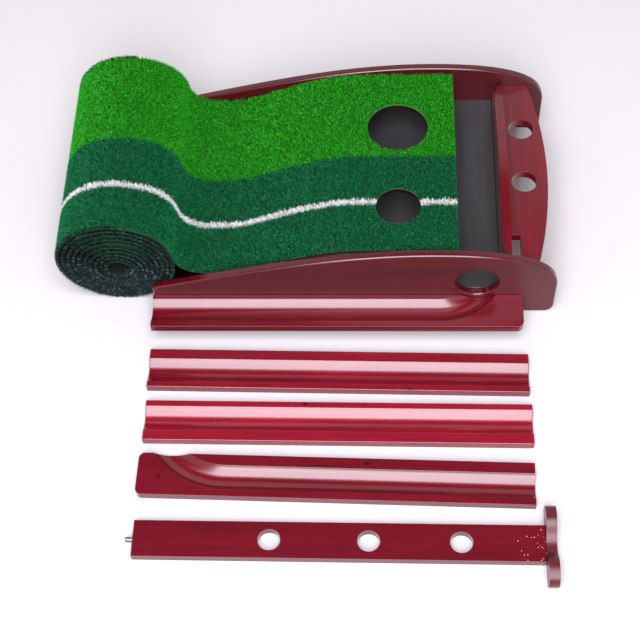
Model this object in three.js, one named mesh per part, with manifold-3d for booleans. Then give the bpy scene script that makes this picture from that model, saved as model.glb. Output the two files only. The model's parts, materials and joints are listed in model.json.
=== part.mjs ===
// Practice putting mat: a wooden end unit with a turf mat, a ball return track in sections
// and a putter post. Millimetres, +Z up. The layout frame has its origin at the near left
// bottom corner of the end unit: X runs to the ball shelf, Y runs away from the return track.
import * as THREE from 'three';
import { mergeVertices } from 'three/addons/utils/BufferGeometryUtils.js';
import Module from 'manifold-3d';

// ---- fits ----
const seatGap = 0.3;              // between pieces that are glued or laid face to face
const pinFit = 0.3;               // round the dowels and the pin, on the radius

// ---- end unit ----
const panelLength = 536;
const panelThickness = 11;
const insideWidth = 310;
const panelPeakHeight = 127.5;
const panelLowHeight = 54.5;
const panelPeakSetback = 164;     // from the back end to the highest point
const panelBackShoulder = 60;     // height where the rounded back end turns straight down
const panelFootRadius = 14;
const deckDrop = 11;              // from the panels' highest point to the platform's top
const deckLowHeight = 10;
const deckThickness = 6;
const deckStartX = 3;
const platformOverhang = 142;     // from the cross wall's front to the platform's end
const crossBoardThickness = 12;
const platformThickness = 9;
const frontRailX = 34;
const rampRibX = 150;
const battenSection = 10;

// ---- holes in the platform and the turf ----
const holeSetback = 76.5;         // from the platform's end
const largeHoleOffset = 56;       // to the far side of the middle
const smallHoleOffset = 79;       // to the near side of the middle
const largeHoleRadius = 41.5;
const smallHoleRadius = 30;
const platformHoleRelief = 1.5;   // the board is cut back this far behind the turf's edge

// ---- ball trough ----
const backstopSetback = 73;       // from the back end to the backstop's front
const ballGap = 59;               // from the platform's end to the backstop
const backstopThickness = 12;
const backstopEndHeight = 99;
const backstopMiddleHeight = 118;
const backstopShoulder = 9;
const backstopShoulderRise = 1.5;
const backstopPoint = { depth: 9, run: 46, drop: 20 };  // the top's front edge, cut back at both ends
const troughNearHeight = 41;
const troughFarHeight = 63;
const troughBoardThickness = 6;
const troughLiningThickness = 1.5;
const exitHoleSetback = 32;       // from the backstop's front
const exitHoleRadius = 28;

// ---- ball shelf and post socket ----
const shelfTopHeight = 93;
const shelfThickness = 12;
const shelfEndSetback = 26;
const shelfMiddleSetback = 6;
const shelfHoleSetback = 38;
const shelfHoleRadius = 17;
const shelfHoleOffsets = [-18, 74];
const baseThickness = 12;
const baseFrontRun = 23;          // in front of the backstop
const baseBackRun = 27;           // behind the backstop

// ---- return track ----
const trackLength = 500;
const trackWidth = 58;
const trackThickness = 12;
const trackWideRim = 15;          // the other rim is what the width leaves
const channelWidth = 34;
const channelDepth = 7.5;
const fixedTrackSetback = 44;     // from the back end
const fixedTrackWidth = 50;
const fixedTrackTopHeight = 40;
const fixedTrackFarRim = 7;
const fixedBendLead = 48;         // the bend starts this far before the exit hole
const fixedBendRadius = 70;
const fixedCornerRadius = 9;
const endBendStartX = 110;
const endBendRadius = 93;
const endCornerRadius = 8;
const trackDowelEnds = [60, 15];  // from the track's two ends
const trackDowelMiddle = 230;
const trackDowelRadius = 2.5;
const trackDowelLength = 16;
const trackDowelDrop = 7;         // below the track's top face

// ---- putter post ----
const postLength = 505;
const postWidth = 47.5;
const postThickness = 12;
const postHoleRadius = 14;
const postHoles = [168, 290, 403];  // from the foot
const pinRadius = 3;
const pinProud = 9.5;
const pinInside = 14;
const headLength = 104;
const headShift = -3.5;           // its middle from the plank's
const headThickness = 13;
const headLobeHeight = 28;
const headLobeSpacing = 62;
const headSaddleHeight = 13;
const headFootRound = { run: 8, rise: 12, pull: 2 };
const headSide = { top: 24, lobeReach: 10, innerReach: 13, saddleReach: 16 };
const headDowelRadius = 3;
const headDowelLength = 18;
const headDowelSpacing = 26;
const postSlotFit = 0.6;

// ---- turf mat ----
const matSideClearance = 5;
const matThickness = 6.7;
const matOverhang = 1;            // past the platform's end
const rollRadius = 82;
const rollCoreRadius = 8;
const rollCentreX = -46;
const rollDrawnIn = 6;            // its near end, from the mat's near edge
const rollCoreDrop = 16;          // the open core, below the roll's middle
const sheetLeavesRoll = 80;       // degrees round the roll from +X
const bulgeX = 34.5;
const bulgeRise = 34.5;             // above the valley
const valleyX = 80;
const valleyDrop = 44.5;          // below the platform's top
const touchDownShare = 0.525;     // of the ramp's run, where the sheet comes down onto it
const sheetPull = { offRoll: 43, bulgeIn: [-6, 30], bulgeOut: [5, -25], valley: [-29, 20], touchDown: 24 };

// ---- where the loose pieces lie in front of the end unit ----
// Section B is section A turned end for end.
const looseTrackA = { x: -2, y: -97, yaw: -0.8 };
const looseTrackB = { x: 499, y: -179.5, yaw: 179.5 };
const looseTrackEnd = { x: -3, y: -251.5, yaw: -1.4 };
const loosePost = { x: -0.5, y: -340, yaw: -0.4 };

// ---- shapes of the long curves, as shares of their run and rise ----
const panelCurve = { backRise: 0.75, backRun: 0.6, crestRun: 0.67, lowRun: 0.35, lowRise: 0.5 };
const rampFoot = { run: 0.35, rise: 0.38 };
const rampCrest = { run: 0.7, drop: 7 };

const wasm = await Module();
wasm.setup();

const wood = () => new THREE.MeshStandardMaterial({ color: 0x7d0f1e, roughness: 0.25, metalness: 0 });
const rawWood = () => new THREE.MeshStandardMaterial({ color: 0xb98b5e, roughness: 0.7, metalness: 0 });
const blackLining = () => new THREE.MeshStandardMaterial({ color: 0x2b2b2e, roughness: 0.6, metalness: 0 });
const turf = () => new THREE.MeshStandardMaterial({ color: 0x2c7d22, roughness: 0.95, metalness: 0 });
const steel = () => new THREE.MeshStandardMaterial({ color: 0xb9babc, roughness: 0.35, metalness: 1 });

// Turns a closed three.js geometry into a solid that can be joined and cut.
function solidFrom(geometry) {
  const bare = geometry.index ? geometry.toNonIndexed() : geometry;
  bare.deleteAttribute('normal');
  bare.deleteAttribute('uv');
  const merged = mergeVertices(bare, 1e-4);
  return new wasm.Manifold(new wasm.Mesh({
    numProp: 3,
    vertProperties: new Float32Array(merged.attributes.position.array),
    triVerts: new Uint32Array(merged.index.array),
  }));
}

function meshFrom(name, solid, material) {
  const data = solid.getMesh();
  const geometry = new THREE.BufferGeometry();
  geometry.setAttribute('position', new THREE.BufferAttribute(new Float32Array(data.vertProperties), 3));
  geometry.setIndex(new THREE.BufferAttribute(new Uint32Array(data.triVerts), 1));
  geometry.computeVertexNormals();
  const mesh = new THREE.Mesh(geometry, material);
  mesh.name = name;
  return mesh;
}

function box(x0, x1, y0, y1, z0, z1) {
  const geometry = new THREE.BoxGeometry(x1 - x0, y1 - y0, z1 - z0);
  geometry.translate((x0 + x1) / 2, (y0 + y1) / 2, (z0 + z1) / 2);
  return solidFrom(geometry);
}

function outline(points) {
  return new THREE.Shape(points.map(([a, b]) => new THREE.Vector2(a, b)));
}

// An outline drawn in X and Z, run from y0 to y1.
function prismAlongY(shape, y0, y1, curveSegments = 24) {
  const geometry = new THREE.ExtrudeGeometry(shape, { depth: y1 - y0, bevelEnabled: false, curveSegments });
  geometry.rotateX(Math.PI / 2);
  geometry.translate(0, y1, 0);
  return solidFrom(geometry);
}

// An outline drawn in Y and Z, run from x0 to x1.
function prismAlongX(shape, x0, x1, curveSegments = 24) {
  const geometry = new THREE.ExtrudeGeometry(shape, { depth: x1 - x0, bevelEnabled: false, curveSegments });
  geometry.applyMatrix4(new THREE.Matrix4().set(0, 0, 1, x0, 1, 0, 0, 0, 0, 1, 0, 0, 0, 0, 0, 1));
  return solidFrom(geometry);
}

// An outline drawn in X and Y, run from z0 to z1.
function prismAlongZ(shape, z0, z1, curveSegments = 24) {
  const geometry = new THREE.ExtrudeGeometry(shape, { depth: z1 - z0, bevelEnabled: false, curveSegments });
  geometry.translate(0, 0, z0);
  return solidFrom(geometry);
}

function rodAlongZ(x, y, z0, z1, radius, sides = 48) {
  const geometry = new THREE.CylinderGeometry(radius, radius, z1 - z0, sides);
  geometry.rotateX(Math.PI / 2);
  geometry.translate(x, y, (z0 + z1) / 2);
  return solidFrom(geometry);
}

function rodAlongY(x, y0, y1, z, radius, sides = 48) {
  const geometry = new THREE.CylinderGeometry(radius, radius, y1 - y0, sides);
  geometry.translate(x, (y0 + y1) / 2, z);
  return solidFrom(geometry);
}

function rodAlongX(x0, x1, y, z, radius, sides = 48) {
  const geometry = new THREE.CylinderGeometry(radius, radius, x1 - x0, sides);
  geometry.rotateZ(Math.PI / 2);
  geometry.translate((x0 + x1) / 2, y, z);
  return solidFrom(geometry);
}

// A rounded rectangle in X and Y whose four corners have their own radii.
function roundedPlan(x0, x1, y0, y1, { nearLeft = 0, nearRight = 0, farRight = 0, farLeft = 0 }) {
  const shape = new THREE.Shape();
  shape.moveTo(x0 + nearLeft, y0);
  shape.lineTo(x1 - nearRight, y0);
  if (nearRight) shape.absarc(x1 - nearRight, y0 + nearRight, nearRight, -Math.PI / 2, 0, false);
  shape.lineTo(x1, y1 - farRight);
  if (farRight) shape.absarc(x1 - farRight, y1 - farRight, farRight, 0, Math.PI / 2, false);
  shape.lineTo(x0 + farLeft, y1);
  if (farLeft) shape.absarc(x0 + farLeft, y1 - farLeft, farLeft, Math.PI / 2, Math.PI, false);
  shape.lineTo(x0, y0 + nearLeft);
  if (nearLeft) shape.absarc(x0 + nearLeft, y0 + nearLeft, nearLeft, Math.PI, 1.5 * Math.PI, false);
  return shape;
}

// ---- places that several pieces share ----
const insideNearY = panelThickness;
const insideFarY = panelThickness + insideWidth;
const fitNearY = insideNearY + seatGap;
const fitFarY = insideFarY - seatGap;
const unitWidth = 2 * panelThickness + insideWidth;
const middleY = unitWidth / 2;
const matWidth = insideWidth - 2 * matSideClearance;
const matNearY = middleY - matWidth / 2;
const matFarY = middleY + matWidth / 2;
const panelPeakX = panelLength - panelPeakSetback;
const deckTopHeight = panelPeakHeight - deckDrop;
const backstopX = panelLength - backstopSetback;
const platformEndX = backstopX - ballGap;
const midWallX = platformEndX - platformOverhang;
const holeX = platformEndX - holeSetback;
const largeHoleY = middleY + largeHoleOffset;
const smallHoleY = middleY - smallHoleOffset;
const exitHoleX = backstopX - exitHoleSetback;
const midWallBackX = midWallX + crossBoardThickness;
const platformStartX = midWallX + crossBoardThickness / 3;
const platformBottom = deckTopHeight - platformThickness;
const backstopBackX = backstopX + backstopThickness;
const slotWidth = postThickness + postSlotFit;
const slotLength = postWidth + postSlotFit;
const socketX = backstopBackX + seatGap + slotWidth / 2;
const socketY = insideNearY + slotLength / 2;
const exitHoleHeight = fixedTrackTopHeight + exitHoleRadius;
const fixedTrackLength = panelLength - fixedTrackSetback;
const fixedBendStartX = exitHoleX - fixedBendLead;
const trackDowelXs = [trackDowelEnds[0], trackDowelMiddle, fixedTrackLength - trackDowelEnds[1]];
const channelRadius = (channelWidth * channelWidth / 4 + channelDepth * channelDepth) / (2 * channelDepth);

// The ramp's top line, from the low end up to the platform.
const rampLine = new THREE.CubicBezierCurve(
  new THREE.Vector2(deckStartX, deckLowHeight),
  new THREE.Vector2(
    deckStartX + rampFoot.run * platformStartX,
    deckLowHeight + rampFoot.rise * (deckTopHeight - deckLowHeight),
  ),
  new THREE.Vector2(rampCrest.run * platformStartX, deckTopHeight - rampCrest.drop),
  new THREE.Vector2(platformStartX - seatGap, deckTopHeight),
);

// Points moved sideways from a line of points, to the right of its direction.
function offsetLine(points, distance) {
  return points.map((point, i) => {
    const before = points[Math.max(i - 1, 0)];
    const after = points[Math.min(i + 1, points.length - 1)];
    const direction = after.clone().sub(before).normalize();
    return new THREE.Vector2(point.x + direction.y * distance, point.y - direction.x * distance);
  });
}

const rampTopPoints = rampLine.getPoints(28);
const rampUnderPoints = offsetLine(rampTopPoints, deckThickness);

function heightOn(points, x) {
  const i = Math.max(1, points.findIndex((point) => point.x >= x));
  const a = points[i - 1];
  const b = points[i];
  return a.y + (b.y - a.y) * (x - a.x) / (b.x - a.x);
}

// ---- end unit pieces ----
function sidePanelShape() {
  const shape = new THREE.Shape();
  shape.moveTo(0, 0);
  shape.lineTo(panelLength - panelFootRadius, 0);
  shape.absarc(panelLength - panelFootRadius, panelFootRadius, panelFootRadius, -Math.PI / 2, 0, false);
  shape.lineTo(panelLength, panelBackShoulder);
  const backRun = panelLength - panelPeakX;
  shape.bezierCurveTo(
    panelLength, panelBackShoulder + panelCurve.backRise * (panelPeakHeight - panelBackShoulder),
    panelPeakX + panelCurve.backRun * backRun, panelPeakHeight,
    panelPeakX, panelPeakHeight,
  );
  const rise = panelPeakHeight - panelLowHeight;
  shape.bezierCurveTo(
    panelCurve.crestRun * panelPeakX, panelPeakHeight,
    panelCurve.lowRun * panelPeakX, panelLowHeight + panelCurve.lowRise * rise,
    0, panelLowHeight,
  );
  return shape;
}

function dowelHoleInPanel(x) {
  const half = trackDowelLength / 2;
  const dowelZ = fixedTrackTopHeight - trackDowelDrop;
  return rodAlongY(x, -1, half + seatGap, dowelZ, trackDowelRadius + pinFit, 16);
}

function nearSidePanel() {
  let solid = prismAlongY(sidePanelShape(), 0, panelThickness, 40);
  solid = solid.subtract(rodAlongY(exitHoleX, -1, panelThickness + 1, exitHoleHeight, exitHoleRadius, 64));
  for (const x of trackDowelXs) solid = solid.subtract(dowelHoleInPanel(x));
  return meshFrom('near_side_panel', solid, wood());
}

function farSidePanel() {
  const solid = prismAlongY(sidePanelShape(), insideFarY, unitWidth, 40);
  return meshFrom('far_side_panel', solid, wood());
}

function rampDeck() {
  const shape = new THREE.Shape([...rampUnderPoints, ...rampTopPoints.toReversed()]);
  const reach = box(0, platformStartX - seatGap, insideNearY, insideFarY, 0, panelPeakHeight);
  return meshFrom('ramp_deck', prismAlongY(shape, fitNearY, fitFarY).intersect(reach), wood());
}

function crossPieceUnderRamp(name, x) {
  const back = x + crossBoardThickness;
  const shape = outline([
    [x, 0],
    [back, 0],
    [back, heightOn(rampUnderPoints, back) - seatGap],
    [x, heightOn(rampUnderPoints, x) - seatGap],
  ]);
  return meshFrom(name, prismAlongY(shape, fitNearY, fitFarY), rawWood());
}

function midWall() {
  const solid = box(midWallX, midWallBackX, fitNearY, fitFarY, 0, platformBottom - seatGap);
  return meshFrom('trough_end_wall', solid, wood());
}

function cutPlayHoles(solid, z0, z1, relief) {
  return solid
    .subtract(rodAlongZ(holeX, largeHoleY, z0, z1, largeHoleRadius + relief, 72))
    .subtract(rodAlongZ(holeX, smallHoleY, z0, z1, smallHoleRadius + relief, 64));
}

function platformBoard() {
  const board = box(platformStartX, platformEndX, fitNearY, fitFarY, platformBottom, deckTopHeight);
  const solid = cutPlayHoles(board, platformBottom - 1, deckTopHeight + 1, platformHoleRelief);
  return meshFrom('platform_board', solid, wood());
}

function platformBatten(name, y0) {
  const top = platformBottom - seatGap;
  const start = midWallBackX + seatGap;
  const solid = box(start, platformEndX, y0, y0 + battenSection, top - battenSection, top);
  return meshFrom(name, solid, rawWood());
}

function troughTopAt(y) {
  const share = (y - insideNearY) / insideWidth;
  return troughNearHeight + share * (troughFarHeight - troughNearHeight);
}

// A flat sheet laid along the trough's slope, from its top face down.
function slopingSheet(below, thickness) {
  const near = troughTopAt(fitNearY) - below;
  const far = troughTopAt(fitFarY) - below;
  const shape = outline([
    [fitNearY, near - thickness],
    [fitFarY, far - thickness],
    [fitFarY, far],
    [fitNearY, near],
  ]);
  return prismAlongX(shape, midWallBackX + seatGap, backstopX - seatGap);
}

function troughLining() {
  return meshFrom('trough_lining', slopingSheet(0, troughLiningThickness), blackLining());
}

function troughFloor() {
  const solid = slopingSheet(troughLiningThickness + seatGap, troughBoardThickness);
  return meshFrom('trough_floor', solid, wood());
}

function troughBatten(name, y0) {
  const drop = troughLiningThickness + troughBoardThickness + 2 * seatGap;
  const shape = outline([
    [y0, troughTopAt(y0) - drop - battenSection],
    [y0 + battenSection, troughTopAt(y0) - drop - battenSection],
    [y0 + battenSection, troughTopAt(y0 + battenSection) - drop],
    [y0, troughTopAt(y0) - drop],
  ]);
  return meshFrom(name, prismAlongX(shape, midWallBackX + seatGap, backstopX - seatGap), rawWood());
}

// Narrows the top of the backstop toward one end, from its front face.
function backstopEndCut(end, inward) {
  const { depth, run, drop } = backstopPoint;
  const front = backstopX - 1;
  const shape = new THREE.Shape();
  shape.moveTo(front, end - inward);
  shape.lineTo(backstopX + depth, end - inward);
  shape.lineTo(backstopX + depth, end);
  shape.quadraticCurveTo(backstopX, end + inward * run * 0.35, backstopX, end + inward * run);
  shape.lineTo(front, end + inward * run);
  const low = backstopEndHeight - drop;
  return prismAlongZ(shape, low, backstopMiddleHeight + 1, 16);
}

function backstopBoard() {
  const shoulderTop = backstopEndHeight + backstopShoulderRise;
  const shape = new THREE.Shape();
  shape.moveTo(fitNearY, baseThickness + seatGap);
  shape.lineTo(fitFarY, baseThickness + seatGap);
  shape.lineTo(fitFarY, backstopEndHeight - backstopShoulder);
  shape.quadraticCurveTo(fitFarY, backstopEndHeight, fitFarY - backstopShoulder, shoulderTop);
  shape.quadraticCurveTo(
    middleY, 2 * backstopMiddleHeight - shoulderTop,
    fitNearY + backstopShoulder, shoulderTop,
  );
  shape.quadraticCurveTo(fitNearY, backstopEndHeight, fitNearY, backstopEndHeight - backstopShoulder);
  let solid = prismAlongX(shape, backstopX, backstopBackX, 20);
  for (const [end, inward] of [[fitNearY, 1], [fitFarY, -1]]) {
    solid = solid.subtract(backstopEndCut(end, inward));
  }
  return meshFrom('backstop_board', solid, wood());
}

function ballShelf() {
  const front = backstopBackX + seatGap;
  const shelfEndX = panelLength - shelfEndSetback;
  const shelfMiddleX = panelLength - shelfMiddleSetback;
  const holeRowX = panelLength - shelfHoleSetback;
  const shape = new THREE.Shape();
  shape.moveTo(front, fitNearY);
  shape.lineTo(shelfEndX, fitNearY);
  shape.quadraticCurveTo(2 * shelfMiddleX - shelfEndX, middleY, shelfEndX, fitFarY);
  shape.lineTo(front, fitFarY);
  const bottom = shelfTopHeight - shelfThickness;
  let solid = prismAlongZ(shape, bottom, shelfTopHeight, 32);
  for (const offset of shelfHoleOffsets) {
    const y = middleY + offset;
    solid = solid.subtract(rodAlongZ(holeRowX, y, bottom - 1, shelfTopHeight + 1, shelfHoleRadius, 56));
  }
  const slot = box(front - 1, front + slotWidth, fitNearY - 1, insideNearY + slotLength,
    bottom - 1, shelfTopHeight + 1);
  return meshFrom('ball_shelf', solid.subtract(slot), wood());
}

function rearBaseBoard() {
  const startX = backstopX - baseFrontRun;
  const endX = backstopBackX + baseBackRun;
  const board = box(startX, endX, fitNearY, fitFarY, 0, baseThickness);
  const socket = rodAlongZ(socketX, socketY, -1, baseThickness + 1, pinRadius + pinFit, 24);
  return meshFrom('rear_base_board', board.subtract(socket), rawWood());
}

// ---- return track pieces ----
// The ball channel: a straight run from x0 to x1 and, at a bend, a ring cut that turns it to +Y.
function channelCut(x0, x1, y, topZ, bend) {
  const axisZ = topZ + channelRadius - channelDepth;
  let cut = rodAlongX(x0, x1, y, axisZ, channelRadius, 96);
  if (bend) {
    const ring = new THREE.TorusGeometry(bend.radius, channelRadius, 96, 120);
    ring.translate(bend.x, y + bend.radius, axisZ);
    const reach = bend.radius + channelRadius + 1;
    const low = bend.side < 0 ? bend.x - reach : bend.x;
    const kept = box(low, low + reach, y - reach, y + reach, axisZ - reach, axisZ + reach);
    cut = cut.add(solidFrom(ring).intersect(kept));
  }
  return cut;
}

function fixedTrack() {
  const farY = -seatGap;
  const nearY = farY - fixedTrackWidth;
  const bottom = fixedTrackTopHeight - trackThickness;
  const plan = roundedPlan(0, fixedTrackLength, nearY, farY, { nearRight: fixedCornerRadius });
  const channelY = farY - fixedTrackFarRim - channelWidth / 2;
  const bend = { x: fixedBendStartX, radius: fixedBendRadius, side: 1 };
  let solid = prismAlongZ(plan, bottom, fixedTrackTopHeight, 12);
  solid = solid.subtract(channelCut(-1, fixedBendStartX, channelY, fixedTrackTopHeight, bend));
  const half = trackDowelLength / 2;
  const dowelZ = fixedTrackTopHeight - trackDowelDrop;
  for (const x of trackDowelXs) {
    solid = solid.subtract(rodAlongY(x, -half - seatGap, 1, dowelZ, trackDowelRadius + pinFit, 16));
  }
  return meshFrom('fixed_track', solid, wood());
}

function trackDowels() {
  const half = trackDowelLength / 2;
  return trackDowelXs.map((x, i) => {
    const solid = rodAlongY(x, -half, half, fixedTrackTopHeight - trackDowelDrop, trackDowelRadius, 16);
    return meshFrom(`track_dowel_${i + 1}`, solid, rawWood());
  });
}

// A loose section is drawn with its length on +X from 0 and its middle on Y = 0.
function looseTrack(name, place, bend) {
  const nearY = -trackWidth / 2;
  const farY = trackWidth / 2;
  const corners = bend ? { nearLeft: endCornerRadius, farLeft: endCornerRadius } : {};
  const plan = roundedPlan(0, trackLength, nearY, farY, corners);
  const channelY = farY - trackWideRim - channelWidth / 2;
  const start = bend ? bend.x : -1;
  let solid = prismAlongZ(plan, 0, trackThickness, 12);
  solid = solid.subtract(channelCut(start, trackLength + 1, channelY, trackThickness, bend));
  return layDown(meshFrom(name, solid, wood()), place);
}

function layDown(mesh, place) {
  mesh.position.set(place.x, place.y, 0);
  mesh.rotation.z = THREE.MathUtils.degToRad(place.yaw);
  return mesh;
}

// ---- putter post ----
// The post is drawn lying down, its foot at X = 0 and its middle on Y = 0.
const headDowelYs = [-headDowelSpacing / 2, headDowelSpacing / 2];
const postMiddleZ = postThickness / 2;
const headStartX = postLength + seatGap;

function headDowelHole(y) {
  const start = postLength - headDowelLength / 2 - seatGap;
  const end = headStartX + headDowelLength / 2;
  return rodAlongX(start, end, y, postMiddleZ, headDowelRadius + pinFit, 16);
}

function postPlank() {
  let solid = box(0, postLength, -postWidth / 2, postWidth / 2, 0, postThickness);
  for (const x of postHoles) {
    solid = solid.subtract(rodAlongZ(x, 0, -1, postThickness + 1, postHoleRadius, 56));
  }
  solid = solid.subtract(rodAlongX(-1, pinInside + seatGap, 0, postMiddleZ, pinRadius + pinFit, 20));
  for (const y of headDowelYs) solid = solid.subtract(headDowelHole(y));
  return layDown(meshFrom('post_plank', solid, wood()), loosePost);
}

function postPin() {
  const solid = rodAlongX(-pinProud, pinInside, 0, postMiddleZ, pinRadius, 32);
  return layDown(meshFrom('post_pin', solid, steel()), loosePost);
}

// The head's outline in Y and Z: a flat back, two round lobes and a saddle between them.
function postHead() {
  const half = headLength / 2;
  const lobe = headLobeSpacing / 2;
  const { run, rise, pull } = headFootRound;
  const { top, lobeReach, innerReach, saddleReach } = headSide;
  const shape = new THREE.Shape();
  shape.moveTo(-half + run, 0);
  shape.lineTo(half - run, 0);
  shape.quadraticCurveTo(half, pull, half, rise);
  shape.bezierCurveTo(half, top, lobe + lobeReach, headLobeHeight, lobe, headLobeHeight);
  shape.bezierCurveTo(lobe - innerReach, headLobeHeight, saddleReach, headSaddleHeight, 0, headSaddleHeight);
  shape.bezierCurveTo(
    -saddleReach, headSaddleHeight,
    -lobe + innerReach, headLobeHeight,
    -lobe, headLobeHeight,
  );
  shape.bezierCurveTo(-lobe - lobeReach, headLobeHeight, -half, top, -half, rise);
  shape.quadraticCurveTo(-half, pull, -half + run, 0);
  let solid = prismAlongX(shape, headStartX, headStartX + headThickness, 14).translate(0, headShift, 0);
  for (const y of headDowelYs) solid = solid.subtract(headDowelHole(y));
  return layDown(meshFrom('post_head', solid, wood()), loosePost);
}

function headDowels() {
  const start = postLength - headDowelLength / 2;
  return headDowelYs.map((y, i) => {
    const solid = rodAlongX(start, start + headDowelLength, y, postMiddleZ, headDowelRadius, 16);
    return layDown(meshFrom(`head_dowel_${i + 1}`, solid, rawWood()), loosePost);
  });
}

// ---- turf mat ----
// The sheet's top line: off the roll, down to the valley, up the ramp and over the platform.
function sheetTopPoints() {
  const angle = THREE.MathUtils.degToRad(sheetLeavesRoll);
  const rollCentreZ = rollRadius;
  const leave = new THREE.Vector2(
    rollCentreX + rollRadius * Math.cos(angle), rollCentreZ + rollRadius * Math.sin(angle));
  const valley = new THREE.Vector2(valleyX, deckTopHeight - valleyDrop);
  const bulge = new THREE.Vector2(bulgeX, valley.y + bulgeRise);
  const lift = matThickness + seatGap;
  const touchDownX = touchDownShare * platformStartX;
  const onDeck = [
    ...offsetLine(rampTopPoints, -lift).filter((point) => point.x > touchDownX),
    new THREE.Vector2(platformStartX + lift, deckTopHeight + lift),
    new THREE.Vector2(platformEndX + matOverhang, deckTopHeight + lift),
  ];
  const touch = onDeck[0];
  const rise = onDeck[1].clone().sub(touch).normalize();
  const along = new THREE.Vector2(Math.sin(angle), -Math.cos(angle));
  const offRoll = new THREE.CubicBezierCurve(
    leave,
    leave.clone().add(along.multiplyScalar(sheetPull.offRoll)),
    bulge.clone().add(new THREE.Vector2(...sheetPull.bulgeIn)),
    bulge,
  );
  const intoValley = new THREE.CubicBezierCurve(
    bulge, bulge.clone().add(new THREE.Vector2(...sheetPull.bulgeOut)),
    valley.clone().add(new THREE.Vector2(sheetPull.valley[0], 0)), valley,
  );
  const ontoRamp = new THREE.CubicBezierCurve(
    valley, valley.clone().add(new THREE.Vector2(sheetPull.valley[1], 0)),
    touch.clone().sub(rise.multiplyScalar(sheetPull.touchDown)), touch,
  );
  return [
    ...offRoll.getPoints(12),
    ...intoValley.getPoints(10).slice(1),
    ...ontoRamp.getPoints(6).slice(1),
    ...onDeck.slice(1),
  ];
}

function puttingMat() {
  const top = sheetTopPoints();
  const under = offsetLine(top, matThickness);
  const sheetShape = new THREE.Shape([...under, ...top.toReversed()]);
  const sheet = prismAlongY(sheetShape, matNearY, matFarY);
  const roll = rodAlongY(rollCentreX, matNearY + rollDrawnIn, matFarY, rollRadius, rollRadius, 72);
  const coreZ = rollRadius - rollCoreDrop;
  const core = rodAlongY(rollCentreX, matNearY - 1, matFarY + 1, coreZ, rollCoreRadius, 24);
  const solid = cutPlayHoles(sheet.add(roll), deckTopHeight - 1, panelPeakHeight, 0);
  return meshFrom('putting_mat', solid.subtract(core), turf());
}

const layout = new THREE.Group();
layout.add(
  nearSidePanel(),
  farSidePanel(),
  rampDeck(),
  crossPieceUnderRamp('front_rail', frontRailX),
  crossPieceUnderRamp('ramp_rib', rampRibX),
  midWall(),
  platformBoard(),
  platformBatten('platform_batten_near', fitNearY),
  platformBatten('platform_batten_far', fitFarY - battenSection),
  troughLining(),
  troughFloor(),
  troughBatten('trough_batten_near', fitNearY),
  troughBatten('trough_batten_far', fitFarY - battenSection),
  backstopBoard(),
  ballShelf(),
  rearBaseBoard(),
  fixedTrack(),
  ...trackDowels(),
  looseTrack('track_section_a', looseTrackA),
  looseTrack('track_section_b', looseTrackB),
  looseTrack('track_section_end', looseTrackEnd, { x: endBendStartX, radius: endBendRadius, side: -1 }),
  postPlank(),
  postPin(),
  postHead(),
  ...headDowels(),
  puttingMat(),
);

// The finished part stands on Z = 0 with its box centred on the origin.
const extent = new THREE.Box3().setFromObject(layout, true);
layout.position.set(-(extent.min.x + extent.max.x) / 2, -(extent.min.y + extent.max.y) / 2, 0);

const group = new THREE.Group();
group.add(layout);

export default group;
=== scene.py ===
import json
import math

import bmesh
import bpy
import numpy as np
from mathutils import Matrix, Vector

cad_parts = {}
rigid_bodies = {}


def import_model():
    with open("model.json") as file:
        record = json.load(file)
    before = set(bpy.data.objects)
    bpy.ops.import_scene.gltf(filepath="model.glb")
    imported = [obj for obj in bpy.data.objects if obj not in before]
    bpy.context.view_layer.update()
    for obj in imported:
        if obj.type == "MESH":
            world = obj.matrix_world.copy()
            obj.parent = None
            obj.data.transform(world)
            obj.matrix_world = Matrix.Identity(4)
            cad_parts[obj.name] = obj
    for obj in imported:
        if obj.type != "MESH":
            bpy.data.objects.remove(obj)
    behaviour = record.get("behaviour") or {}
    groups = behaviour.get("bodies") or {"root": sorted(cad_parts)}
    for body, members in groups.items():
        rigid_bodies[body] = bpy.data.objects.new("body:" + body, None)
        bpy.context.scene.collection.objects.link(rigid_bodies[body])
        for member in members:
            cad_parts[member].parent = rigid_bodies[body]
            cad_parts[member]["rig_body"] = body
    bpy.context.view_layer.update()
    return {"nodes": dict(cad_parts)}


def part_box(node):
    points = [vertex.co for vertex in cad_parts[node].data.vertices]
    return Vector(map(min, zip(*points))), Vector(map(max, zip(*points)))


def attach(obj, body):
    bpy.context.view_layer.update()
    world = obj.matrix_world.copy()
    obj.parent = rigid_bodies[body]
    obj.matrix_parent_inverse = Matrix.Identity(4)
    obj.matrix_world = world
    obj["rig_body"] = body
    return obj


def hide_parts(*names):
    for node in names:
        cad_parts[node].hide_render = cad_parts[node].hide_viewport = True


bl_info = {
    "name": "Practice putting mat",
    "version": (1, 0, 0),
    "blender": (4, 5, 0),
    "location": "View3D > Sidebar > Putting mat",
    "description": "Turf mat on a lacquered end unit, with a ball return track and a putter post",
    "category": "Object",
}

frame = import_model()
MM = 0.001

# The near left bottom corner of the end unit. Places below are measured from it.
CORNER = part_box("near_side_panel")[0]
TURF_LOW, TURF_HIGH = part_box("putting_mat")
PLATFORM_LOW, PLATFORM_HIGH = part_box("platform_board")
SEAT_GAP = 0.3 * MM

# The map that the yarn reads its tints from, and how the blades are made and set: the most in one
# piece, their width, how deep they root, where they bend, the fringe and the part of the roll's outer
# turn that shows.
PILE_MAP = "OFBake"
BLADES_A_PIECE = 62000
BLADE_WIDTH = 0.7 * MM
ROOT_DEPTH = 0.4 * MM
KNEE = 0.58
RIM_WIDTH = 3.0 * MM
RIM_CROWDING = 1.7
PILE_TURNS = 0.74

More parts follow.
